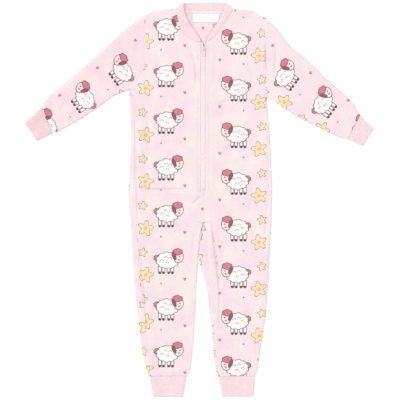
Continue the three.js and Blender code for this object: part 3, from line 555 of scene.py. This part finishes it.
class Motif:
    """Paints filled and outlined shapes, one over another, on a finish."""

    def __init__(self, finish, place, ground):
        self.finish, self.place, self.colour = finish, place, ground

    def cover(self, distance, colour):
        share = self.finish.sum("MULTIPLY_ADD", distance, -1 / PRINT_BLUR, 0.5, clamp=True)
        self.colour = self.finish.mix(share, self.colour, colour)

    def shape(self, distance, fill, line=INK):
        if line:
            self.cover(self.finish.sum("SUBTRACT", distance, LINE), line)
        self.cover(distance, fill)

    def arch(self, x, y, size):
        """A thin line over the upper half of a circle."""
        finish = self.finish
        local = self.local(x, y)
        from_edge = finish.sum("ABSOLUTE", finish.sum("SUBTRACT", finish.vector("LENGTH", local), size))
        below = finish.sum("MULTIPLY", finish.parts(local)[1], -1.0)
        thin = finish.sum("SUBTRACT", from_edge, LINE / 3)
        self.cover(finish.sum("MAXIMUM", thin, below), INK)

    def local(self, x, y, turn=0.0):
        """Coordinates about a point of the motif."""
        node = self.finish.nodes.new("ShaderNodeVectorRotate")
        node.rotation_type = "Z_AXIS"
        self.finish.put(node.inputs["Vector"], self.place)
        node.inputs["Center"].default_value = (x, y, 0)
        node.inputs["Angle"].default_value = -turn
        return self.finish.vector("SUBTRACT", node.outputs["Vector"], (x, y, 0))

    def oval(self, x, y, across, up, turn=0.0):
        shrunk = self.finish.vector("DIVIDE", self.local(x, y, turn), (across, up, 1))
        reach = self.finish.vector("LENGTH", shrunk)
        return self.finish.sum("MULTIPLY_ADD", reach, min(across, up), -min(across, up))

    def wool(self, x, y, across, up, curls, depth):
        """An oval with a rim of round curls."""
        finish = self.finish
        shrunk = finish.vector("DIVIDE", self.local(x, y), (across, up, 1))
        reach = finish.vector("LENGTH", shrunk)
        along, high, _ = finish.parts(shrunk)
        angle = finish.sum("ARCTAN2", high, along)
        wave = finish.sum("SINE", finish.sum("MULTIPLY", angle, curls / 2))
        rim = finish.sum("MULTIPLY_ADD", finish.sum("ABSOLUTE", wave), -depth, reach)
        return finish.sum("MULTIPLY_ADD", rim, min(across, up), -min(across, up))

    def leg(self, x, y, half, wide):
        """An upright bar with round ends."""
        finish = self.finish
        folded = finish.vector("ABSOLUTE", self.local(x, y))
        out = finish.vector("SUBTRACT", folded, (0, half, 0))
        reach = finish.vector("LENGTH", finish.vector("MAXIMUM", out, (0, 0, 0)))
        return finish.sum("SUBTRACT", reach, wide)

    def star(self, x, y, size):
        """A star with round points, turned a little."""
        finish = self.finish
        local = self.local(x, y, STAR_TURN)
        along, high, _ = finish.parts(local)
        angle = finish.sum("ARCTAN2", along, high)
        wave = finish.sum("COSINE", finish.sum("MULTIPLY", angle, STAR_POINTS))
        edge = finish.sum("MULTIPLY_ADD", wave, 0.23 * size, 0.74 * size)
        return finish.sum("SUBTRACT", finish.vector("LENGTH", local), edge)

    def heart(self, x, y, size):
        """A circle whose sides are raised, with a point below."""
        finish = self.finish
        along, high, _ = finish.parts(self.local(x, y))
        side = finish.sum("ABSOLUTE", along)
        lowered = finish.sum("MULTIPLY_ADD", side, -0.75, high)
        reach = finish.vector("LENGTH", finish.joined(along, lowered))
        return finish.sum("SUBTRACT", reach, size)


def half_drop(finish, place):
    """Coordinates in one repeat of the print. Each second column is lower and faces the other way."""
    x, y, _ = finish.parts(place)
    turns = finish.sum("DIVIDE", x, COLUMN)
    half_turns = finish.sum("MULTIPLY", finish.sum("FLOOR", turns), 0.5)
    odd = finish.sum("MULTIPLY", finish.sum("FRACT", half_turns), 2.0)
    across = finish.sum("MULTIPLY_ADD", finish.sum("FRACT", turns), COLUMN, -COLUMN / 2)
    facing = finish.sum("MULTIPLY", across, finish.sum("MULTIPLY_ADD", odd, -2.0, 1.0))
    rows = finish.sum("FRACT", finish.sum("MULTIPLY_ADD", odd, 0.5, finish.sum("DIVIDE", y, DROP)))
    return finish.joined(facing, finish.sum("MULTIPLY_ADD", rows, DROP, -DROP / 2))


def printed_fleece(name, turn, shift, tone):
    """Coral fleece with the print turned and moved as its piece was cut."""
    finish = Finish(name, linear(243, 222, 227), 0.9, sheen=0.25)
    place_here = finish.vector("ADD", finish.millimetres(turn), (*shift, 0))
    ground = finish.ramp(finish.cloud(place_here, 46, detail=3.0), *MOTTLED)
    pile = finish.nodes.new("ShaderNodeTexNoise")
    finish.put(pile.inputs["Vector"], place_here)
    pile.inputs["Scale"].default_value = 1 / PILE_SIZE
    pile.inputs["Detail"].default_value = 2.0
    ways = finish.vector("SUBTRACT", pile.outputs["Color"], (0.5, 0.5, 0.5))
    spread = finish.vector("ADD", place_here, finish.scaled(ways, PILE_SPREAD))
    motif = Motif(finish, half_drop(finish, spread), ground)
    lamb(motif)
    motif.shape(motif.star(43, -27, 19), PALE_YELLOW)
    motif.shape(motif.star(43, -27, 5.5), PEACH, line=None)
    motif.shape(motif.star(50, 27, 10.5), PALE_YELLOW)
    motif.shape(motif.heart(-51, -38, 3.6), ROSE, line=None)
    motif.shape(motif.oval(6, -47, 2.2, 2.2), ROSE, line=None)
    # Painted shade: the fleece darker in the hollows of its pile, and darker and pinker all over where
    # the last argument is below 1.
    blue = (1 + tone) / 2
    pile_hollow_shade = (0.93, 0.915 * tone, 0.92 * blue, 1)
    peak = (1.0, tone, blue, 1)
    shade = finish.ramp(pile.outputs["Fac"], (0.25, pile_hollow_shade), (0.75, peak))
    finish.colour(finish.mix(1.0, motif.colour, shade, blend="MULTIPLY"))
    finish.bump(finish.cloud(place_here, 7.0, detail=2.0), 1.1, 0.5)
    finish.bump(finish.cloud(place_here, 1.9, detail=3.0, rough=0.6), 0.8, 0.75)
    return finish.material


def lamb(motif):
    """A plump lamb in side view, about 60 mm long before it is scaled, drawn about its middle."""
    whole = motif.place
    moved = motif.finish.vector("SUBTRACT", whole, (*LAMB_AT, 0))
    motif.place = motif.finish.scaled(moved, 1 / LAMB_SIZE)
    for x in (-5.5, 2.5, 13.5, 21.5):
        motif.shape(motif.leg(x, -19, 6.5, 2.4), WOOL)
        motif.shape(motif.leg(x, -26.5, 0.6, 2.3), HOOF, line=None)
    tail = motif.wool(27.5, 5, 5.6, 5.2, 7, 0.16)
    motif.shape(tail, ROSE)
    fleece = motif.wool(5, 0, 21.5, 15.5, 11, 0.13)
    motif.shape(fleece, WOOL)
    for x, y in ((-1, 3), (9, 5), (17, -2), (5, -7)):
        motif.arch(x, y, 3.4)
    head = motif.oval(-19, 7, 9.2, 11.5, math.radians(14))
    motif.shape(head, FACE)
    forelock = motif.wool(-16.5, 18, 8.4, 5.6, 6, 0.17)
    motif.shape(forelock, ROSE)
    ear = motif.oval(-9, 9, 3.1, 6.6, math.radians(-24))
    motif.shape(ear, DEEP_ROSE)
    eye = motif.oval(-21.5, 7.5, 1.25, 1.7)
    motif.shape(eye, HOOF, line=None)
    cheek = motif.oval(-19.5, 1.5, 2.6, 1.8)
    motif.shape(cheek, ROSE, line=None)
    motif.place = whole


RIB_PINK = linear(241, 214, 219)
RIB_STEP = 2.1


def rib_finish(name, tone):
    """Rib knit, with its stitches along each rib from the piece's own map."""
    finish = Finish(name, RIB_PINK, 0.85, sheen=0.2)
    surface = finish.surface()
    across, along, _ = finish.parts(surface)
    rib_share = finish.sum("PINGPONG", finish.sum("DIVIDE", across, RIB_STEP / 2), 1.0)
    slant = finish.sum("MULTIPLY_ADD", rib_share, 1.1, along)
    stitch = finish.sum("PINGPONG", finish.sum("DIVIDE", slant, 0.75), 1.0)
    finish.bump(finish.sum("MULTIPLY", stitch, finish.sum("SUBTRACT", 1.15, rib_share)), 0.25, 0.6)
    fuzz = finish.cloud(surface, 1.2)
    patches = finish.cloud(surface, 9.0)
    pink = finish.ramp(patches, (0.3, linear(239, 212, 217)), (0.7, linear(243, 221, 225)))
    # Painted shade: the knit darker in the grooves between its ribs, and darker all over where the last
    # argument is below 1.
    painted_groove_shade = (0.95 * tone, 0.925 * tone, 0.935 * tone, 1)
    painted_groove_shade = finish.ramp(rib_share, (0.0, (1, tone, tone, 1)), (1.0, painted_groove_shade))
    finish.colour(finish.mix(1.0, pink, painted_groove_shade, blend="MULTIPLY"))
    finish.bump(fuzz, 0.2, 0.5)
    return finish.material


def tape_finish():
    """Woven tape in a herringbone."""
    finish = Finish("zip_tape", linear(243, 222, 227), 0.75)
    place_here = finish.millimetres()
    x, y, _ = finish.parts(place_here)
    chevron = finish.sum("PINGPONG", x, 1.6)
    weave = finish.sum("PINGPONG", finish.sum("MULTIPLY", finish.sum("ADD", y, chevron), 2.2), 1.0)
    finish.bump(weave, 0.2, 0.7)
    # The colour is painted shade and light: darker in the hollows of the weave, lighter on its ridges.
    finish.colour(finish.ramp(weave, (0.0, linear(241, 222, 227)), (1.0, linear(248, 232, 236))))
    return finish.material


def twill_finish():
    """Jersey tape that covers the seam of the back neck."""
    finish = Finish("neck_tape", linear(240, 225, 227), 0.8, sheen=0.1)
    x, y, _ = finish.parts(finish.millimetres())
    weave = finish.sum("PINGPONG", finish.sum("MULTIPLY", finish.sum("ADD", x, y), 1.4), 1.0)
    finish.bump(weave, 0.2, 0.6)
    return finish.material


def coil_finish():
    finish = Finish("zip_coil", linear(255, 242, 244), 0.45)
    return finish.material


def enamel_finish():
    finish = Finish("zip_enamel", linear(240, 212, 219), 0.32)
    finish.shader.inputs["Coat Weight"].default_value = 0.4
    finish.shader.inputs["Coat Roughness"].default_value = 0.15
    return finish.material


def satin_finish():
    finish = Finish("label_satin", linear(237, 235, 236), 0.45, sheen=0.2)
    x, y, _ = finish.parts(finish.millimetres())
    finish.bump(finish.sum("PINGPONG", finish.sum("MULTIPLY", y, 2.6), 1.0), 0.08, 0.5)
    return finish.material


def thread_finish():
    finish = Finish("sewing_thread", linear(248, 230, 234), 0.6, sheen=0.1)
    return finish.material


rib = rib_finish("rib_knit", 1.0)
# A copy of the rib knit painted darker: painted shade for the cuff of the sleeve that lies in shade.
shaded_rib = rib_finish("rib_knit_shaded", 0.9)
zip_tape = tape_finish()
twill = twill_finish()
coil = coil_finish()
enamel = enamel_finish()
satin = satin_finish()
thread = thread_finish()


# Fleece panels

GRAIN = 4.6
FINE_GRAIN = 3.0
GRAIN_SQUARE = 2.5
FLEECE_ROUNDS = 14
STITCH_GRAIN = 1.7
NEAR_STITCHES = 4.5
STITCH_X = 13.0
CROSS_STITCH_Y = 494.0


def from_zip_stitches(x, y):
    """How far a place is from the lines of stitches round the zip."""
    if y > ZIP_HIGH + 4 or y < CROSS_STITCH_Y - 8:
        return 99.0
    down_the_sides = abs(abs(x) - STITCH_X) if y > CROSS_STITCH_Y else 99.0
    across_the_end = abs(y - CROSS_STITCH_Y) if abs(x) < STITCH_X else 99.0
    return min(down_the_sides, across_the_end)


def grain_at(x, y):
    if abs(x) < STITCH_X + NEAR_STITCHES and from_zip_stitches(x, y) < NEAR_STITCHES + 2:
        return STITCH_GRAIN
    for fold in near_folds(x, y):
        if fold.half < GRAIN and beside(x, y, fold.points)[0] < 2 * fold.half:
            return FINE_GRAIN
    return GRAIN


grains = {}


def fleece_grain(x, y):
    """The longest edge of the mesh at a place, worked out once for each small square."""
    square = round(x / GRAIN_SQUARE), round(y / GRAIN_SQUARE)
    if square not in grains:
        grains[square] = grain_at(square[0] * GRAIN_SQUARE, square[1] * GRAIN_SQUARE)
    return grains[square]


class Panel:
    """How one fleece piece was cut: the turn of its print, where a lamb sits, and its flat size.

    A last value below 1 paints the fleece darker and pinker: painted shade, for a piece that lies in
    shade.
    """

    def __init__(self, turn, lamb_at, facing, flat, rests_on, tone=1.0):
        self.turn, self.lamb_at, self.facing = math.radians(turn), lamb_at, facing
        self.flat, self.rests_on, self.tone = flat, rests_on, tone

    def shift(self):
        """Moves the print, so that a lamb of its first column sits where the piece has one."""
        middle = Matrix.Rotation(self.turn, 3, "Z") @ (place(*self.lamb_at) / MM)
        if self.facing > 0:
            return COLUMN / 2 + LAMB_AT[0] - middle.x, DROP / 2 + LAMB_AT[1] - middle.y
        return -COLUMN / 2 - LAMB_AT[0] - middle.x, LAMB_AT[1] - middle.y


PANELS = {
    "back_right": Panel(0, (-80, 875), -1, (0.225, 0.905), "floor"),
    "back_left": Panel(0, (96, 870), -1, (0.190, 0.905), "floor"),
    "front_right": Panel(0, (-82, 776), -1, (0.186, 0.885), "back_right_fleece"),
    "front_left": Panel(0, (74, 742), 1, (0.196, 0.885), "back_left_fleece"),
    # This sleeve's fleece is painted in shade.
    "sleeve_right": Panel(54, (-198, 787), 1, (0.230, 0.330), "floor", tone=0.95),
    "sleeve_left": Panel(-54, (198, 775), -1, (0.235, 0.330), "floor"),
}

surfaces = {}


def height_of_cloth(x, y):
    """The top of the cloth over a place, in millimetres."""
    start = place(x, y, 40)
    hits = [tree.ray_cast(start, Vector((0, 0, -1)))[0] for tree in surfaces.values()]
    return max((hit.z / MM for hit in hits if hit), default=0.0)


def fleece_panel(node, panel):
    mesh = merged(node)
    finer(mesh, fleece_grain)
    close_seams(mesh)
    level(mesh, FLEECE_ROUNDS)
    crease(mesh)
    surfaces[node] = BVHTree.FromBMesh(mesh)
    area = flat_area(mesh)
    material = printed_fleece(f"{node}_print", panel.turn, panel.shift(), panel.tone)
    piece = finish_piece(mesh, f"{node}_fleece", material, "printed_fleece", node)


for node, panel in PANELS.items():
    fleece_panel(node, panel)


# Rib knit

BAND_LINE = [
    (-8, 858), (-20, 863.5), (-31, 872), (-40.5, 883.5), (-48.5, 897), (-54, 913), (-57, 930),
    (-44, 939), (0, 938.5), (46, 939), (58, 930), (57, 915.5), (52, 901), (44.5, 885.5), (35, 872),
    (23, 863.5), (8, 857),
]
BAND_LONG = sum(math.dist(a, b) for a, b in zip(BAND_LINE, BAND_LINE[1:]))
RIB_RISE = 0.34
RIB_COLUMN = 0.62
RIB_GRAIN = 6.0
RIB_ROUNDS = 40
# An edge that leaps from one end of the band's line to the other is wider than this across
RIB_LEAP = 12


def along_the_band(x, y):
    away, share = beside(x, y, BAND_LINE)
    return share * BAND_LONG, away


def across_a_cuff(way):
    """Measures across a cuff whose ribs run along a direction."""
    long = math.hypot(*way)
    cos, sin = way[0] / long, way[1] / long

    def measure(x, y):
        return -sin * x + cos * y, cos * x + sin * y

    return measure


def rib_piece(node, measure, material=rib):
    mesh = merged(node)
    finer(mesh, lambda x, y: RIB_GRAIN)
    measured = {}

    def across(vert):
        if vert not in measured:
            measured[vert] = measure(*on_garment(vert.co)[:2])[0]
        return measured[vert]

    while True:
        wide = [
            edge for edge in mesh.edges
            if RIB_COLUMN < abs(across(edge.verts[0]) - across(edge.verts[1])) < RIB_LEAP
            and edge.calc_length() > RIB_COLUMN * MM
        ]
        if not wide:
            break
        bmesh.ops.subdivide_edges(mesh, edges=wide, cuts=1, use_grid_fill=True)
    close_seams(mesh)
    level(mesh, RIB_ROUNDS)
    measured.clear()
    mesh.normal_update()
    raised = []
    for vert in mesh.verts:
        rib_share = abs(math.sin(math.pi * across(vert) / RIB_STEP)) ** 0.6
        flatness = ease(0.4, 0.9, abs(vert.normal.z))
        raised.append(vert.normal * flatness * (rib_share - 0.7) * RIB_RISE * MM)
    for vert, rise in zip(mesh.verts, raised):
        x, y, z = on_garment(vert.co)
        sway = RIB_SWELL.height * waves(x, y, RIB_SWELL.size, RIB_SWELL.seed)
        sway *= ease(*UPPER_FROM, z)
        vert.co += rise
        vert.co.z = max(0.0, vert.co.z + sway * MM)
    stand_up(mesh)
    uv = mesh.loops.layers.uv.new("UVMap")
    for face in mesh.faces:
        for loop in face.loops:
            u, v = measure(*on_garment(loop.vert.co)[:2])
            loop[uv].uv = (u / UV_SIZE, v / UV_SIZE)
    surfaces[node] = BVHTree.FromBMesh(mesh)
    area = flat_area(mesh)
    piece = finish_piece(mesh, f"{node}_rib", material, "rib_knit", node)


# This cuff is painted in shade.
rib_piece("sleeve_cuff_right", across_a_cuff((77, 55)), shaded_rib)
rib_piece("sleeve_cuff_left", across_a_cuff((-70, 48)))
rib_piece("ankle_cuff_right", across_a_cuff((-4, 50)))
rib_piece("ankle_cuff_left", across_a_cuff((4, 50)))
rib_piece("neckband", along_the_band)


# Sewing

THREAD = 0.26
THREAD_OVER = 0.12


def stitch(mesh, start, end, thick):
    """One stitch of thread, as a slim rounded lens between two points."""
    along = end - start
    turn = along.to_track_quat("Z", "Y").to_matrix().to_4x4()
    size = Matrix.Diagonal((thick * MM, thick * MM, along.length / 2, 1))
    middle = Matrix.Translation((start + end) / 2)
    matrix = middle @ turn @ size
    bmesh.ops.create_uvsphere(mesh, u_segments=6, v_segments=5, radius=1, matrix=matrix)


def seam_of_stitches(name, points, step, share, slot):
    """A line of stitches that lies on the cloth, with small gaps where the thread dips."""
    mesh = bmesh.new()
    for a, b in zip(points, points[1:]):
        count = max(1, round(math.dist(a, b) / step))
        for k in range(count):
            ends = []
            for t in (k / count, (k + share) / count):
                x, y = a[0] + t * (b[0] - a[0]), a[1] + t * (b[1] - a[1])
                ends.append(place(x, y, height_of_cloth(x, y) + THREAD_OVER))
            stitch(mesh, ends[0], ends[1], THREAD)
    return finish_piece(mesh, name, thread, slot)


STITCH_TOP = 851.0
for side, sign in (("right", -1), ("left", 1)):
    line = [(sign * STITCH_X, STITCH_TOP), (sign * STITCH_X, CROSS_STITCH_Y)]
    seam_of_stitches(f"zip_topstitch_{side}", line, step=3.2, share=0.82, slot="printed_fleece")
end_line = [(-STITCH_X, CROSS_STITCH_Y), (STITCH_X, CROSS_STITCH_Y)]
seam_of_stitches("zip_end_stitch", end_line, step=2.4, share=0.86, slot="printed_fleece")


# The zip, drawn up a little between the edges of the fleece

ZIP_LIFT = 1.3


def softened(node, longest, round_edge):
    """A CAD node's plate with its edges rounded, and fine enough to bend."""
    mesh = merged(node)
    if round_edge:
        edges = [edge for edge in mesh.edges if edge.calc_face_angle(0.0) > SHARP]
        bmesh.ops.bevel(
            mesh,
            geom=edges,
            offset=round_edge * MM,
            segments=2,
            profile=0.5,
            affect="EDGES",
            material=-1,
        )
    finer(mesh, lambda x, y: longest)
    return mesh


for side in ("right", "left"):
    tape_mesh = softened(f"zip_tape_{side}", 6.0, 0.2)
    bmesh.ops.translate(tape_mesh, verts=tape_mesh.verts, vec=(0, 0, ZIP_LIFT * MM))
    name = f"zip_tape_{side}"
    tape_piece = finish_piece(tape_mesh, f"{name}_woven", zip_tape, "zip_tape", name)


TOOTH_STEP = 1.5
TOOTH_LONG = 3.5
TOOTH_THICK = 1.35


def tooth(mesh, x, y, low, high):
    """One turn of the coil, lying across the zip."""
    turn = Matrix.Rotation(math.radians(90), 4, "Y")
    size = Matrix.Diagonal(((high - low) / 2 * MM, TOOTH_THICK / 2 * MM, TOOTH_LONG / 2 * MM, 1))
    middle = Matrix.Translation(place(x, y, (low + high) / 2))
    matrix = middle @ turn @ size
    bmesh.ops.create_uvsphere(mesh, u_segments=8, v_segments=5, radius=1, matrix=matrix)


def coil_row(node, name, rows):
    """Rows of teeth through the whole length of a CAD node.

    Each row has its x and, in steps, how far it lags behind the node's end.
    """
    low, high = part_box(node)
    y0, z0 = on_garment(low)[1:]
    y1, z1 = on_garment(high)[1:]
    mesh = bmesh.new()
    for x, lag in rows:
        tooth(mesh, x, y0 + (0.5 + lag) * TOOTH_STEP, z0 + ZIP_LIFT, z1 + ZIP_LIFT)
    bmesh.ops.spin(
        mesh,
        geom=mesh.verts[:] + mesh.edges[:] + mesh.faces[:],
        cent=(0, 0, 0),
        axis=(0, 0, 1),
        dvec=(0, TOOTH_STEP * MM, 0),
        angle=0,
        steps=int((y1 - y0) / TOOTH_STEP) - 1,
        use_duplicate=True,
    )
    return finish_piece(mesh, name, coil, "zip_coil", node)


coil_row("zip_chain", "zip_coil_closed", [(-1.05, 0.0), (1.05, 0.5)])
coil_row("zip_teeth_right", "zip_coil_right", [(-3.1, 0.0)])
coil_row("zip_teeth_left", "zip_coil_left", [(3.1, 0.0)])
METAL_NODES = [
    "zip_slider",
    "zip_pull",
    "zip_bottom_stop",
    "zip_top_stop_right",
    "zip_top_stop_left",
]
for node in METAL_NODES:
    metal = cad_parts[node]
    for metal_slot in metal.material_slots:
        metal_slot.material = enamel


# The label, left bare, and the tape over the seam of the back neck

LABEL_SEWN = 20

label_mesh = softened("label", 3.0, 0.12)
label_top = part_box("label")[1].y
for vert in label_mesh.verts:
    x, y, _ = on_garment(vert.co)
    free = ease(0, LABEL_SEWN, (label_top - vert.co.y) / MM)
    swell = LABEL_SWELL.height * (1 + waves(x, y, LABEL_SWELL.size, LABEL_SWELL.seed))
    vert.co.z += free * swell * MM
stand_up(label_mesh)
label_piece = finish_piece(label_mesh, "label_bare", satin, "label_satin", "label")

tape_mesh = softened("neck_tape", 4.0, 0.15)
area = flat_area(tape_mesh)
stand_up(tape_mesh)
tape_piece = finish_piece(tape_mesh, "neck_tape_jersey", twill, "neck_tape", "neck_tape")


# The camera, straight above, and the light

CAMERA_HEIGHT = 4.0
PICTURE_WIDTH = 0.96
SENSOR = 36.0
PICTURE_MIDDLE = (-9.6, 472.8)
CLOTH_TOP = 0.005

camera_data = bpy.data.cameras.new("camera")
camera_data.sensor_width = SENSOR
camera_data.lens = SENSOR * CAMERA_HEIGHT / PICTURE_WIDTH
camera = bpy.data.objects.new("camera", camera_data)
camera.location = place(*PICTURE_MIDDLE) + Vector((0, 0, CAMERA_HEIGHT + CLOTH_TOP))
bpy.context.scene.collection.objects.link(camera)
bpy.context.scene.camera = camera

FLOOR_HALF = 6.0
floor_mesh = bmesh.new()
bmesh.ops.create_grid(floor_mesh, x_segments=1, y_segments=1, size=FLOOR_HALF)
floor_data = bpy.data.meshes.new("floor")
floor_mesh.to_mesh(floor_data)
floor_mesh.free()
floor = bpy.data.objects.new("floor", floor_data)
floor.location.z = -0.2 * MM
FLOOR_GREY, FLOOR_GLOW = 0.5, 0.6
floor_white = Finish("floor_white", (FLOOR_GREY, FLOOR_GREY, FLOOR_GREY, 1), 0.9)
floor_white.shader.inputs["Emission Color"].default_value = (1, 1, 1, 1)
floor_white.shader.inputs["Emission Strength"].default_value = FLOOR_GLOW
floor_data.materials.append(floor_white.material)
bpy.context.scene.collection.objects.link(floor)

world = bpy.data.worlds.new("studio")
world.use_nodes = True
sky = world.node_tree.nodes["Background"]
sky.inputs["Color"].default_value = (1.0, 0.995, 0.99, 1)
sky.inputs["Strength"].default_value = 0.74
bpy.context.scene.world = world


def soft_light(name, position, size, power):
    data = bpy.data.lights.new(name, "AREA")
    data.shape = "DISK"
    data.size = size
    data.energy = power
    light = bpy.data.objects.new(name, data)
    light.location = position
    light.rotation_mode = "QUATERNION"
    light.rotation_quaternion = (-Vector(position)).to_track_quat("-Z", "Y")
    bpy.context.scene.collection.objects.link(light)


soft_light("window_side", position=(-6.0, 4.0, 7.8), size=4.4, power=496)
soft_light("far_side", position=(3.6, -1.6, 4.2), size=2.4, power=44)

bpy.context.scene.view_settings.view_transform = "Standard"
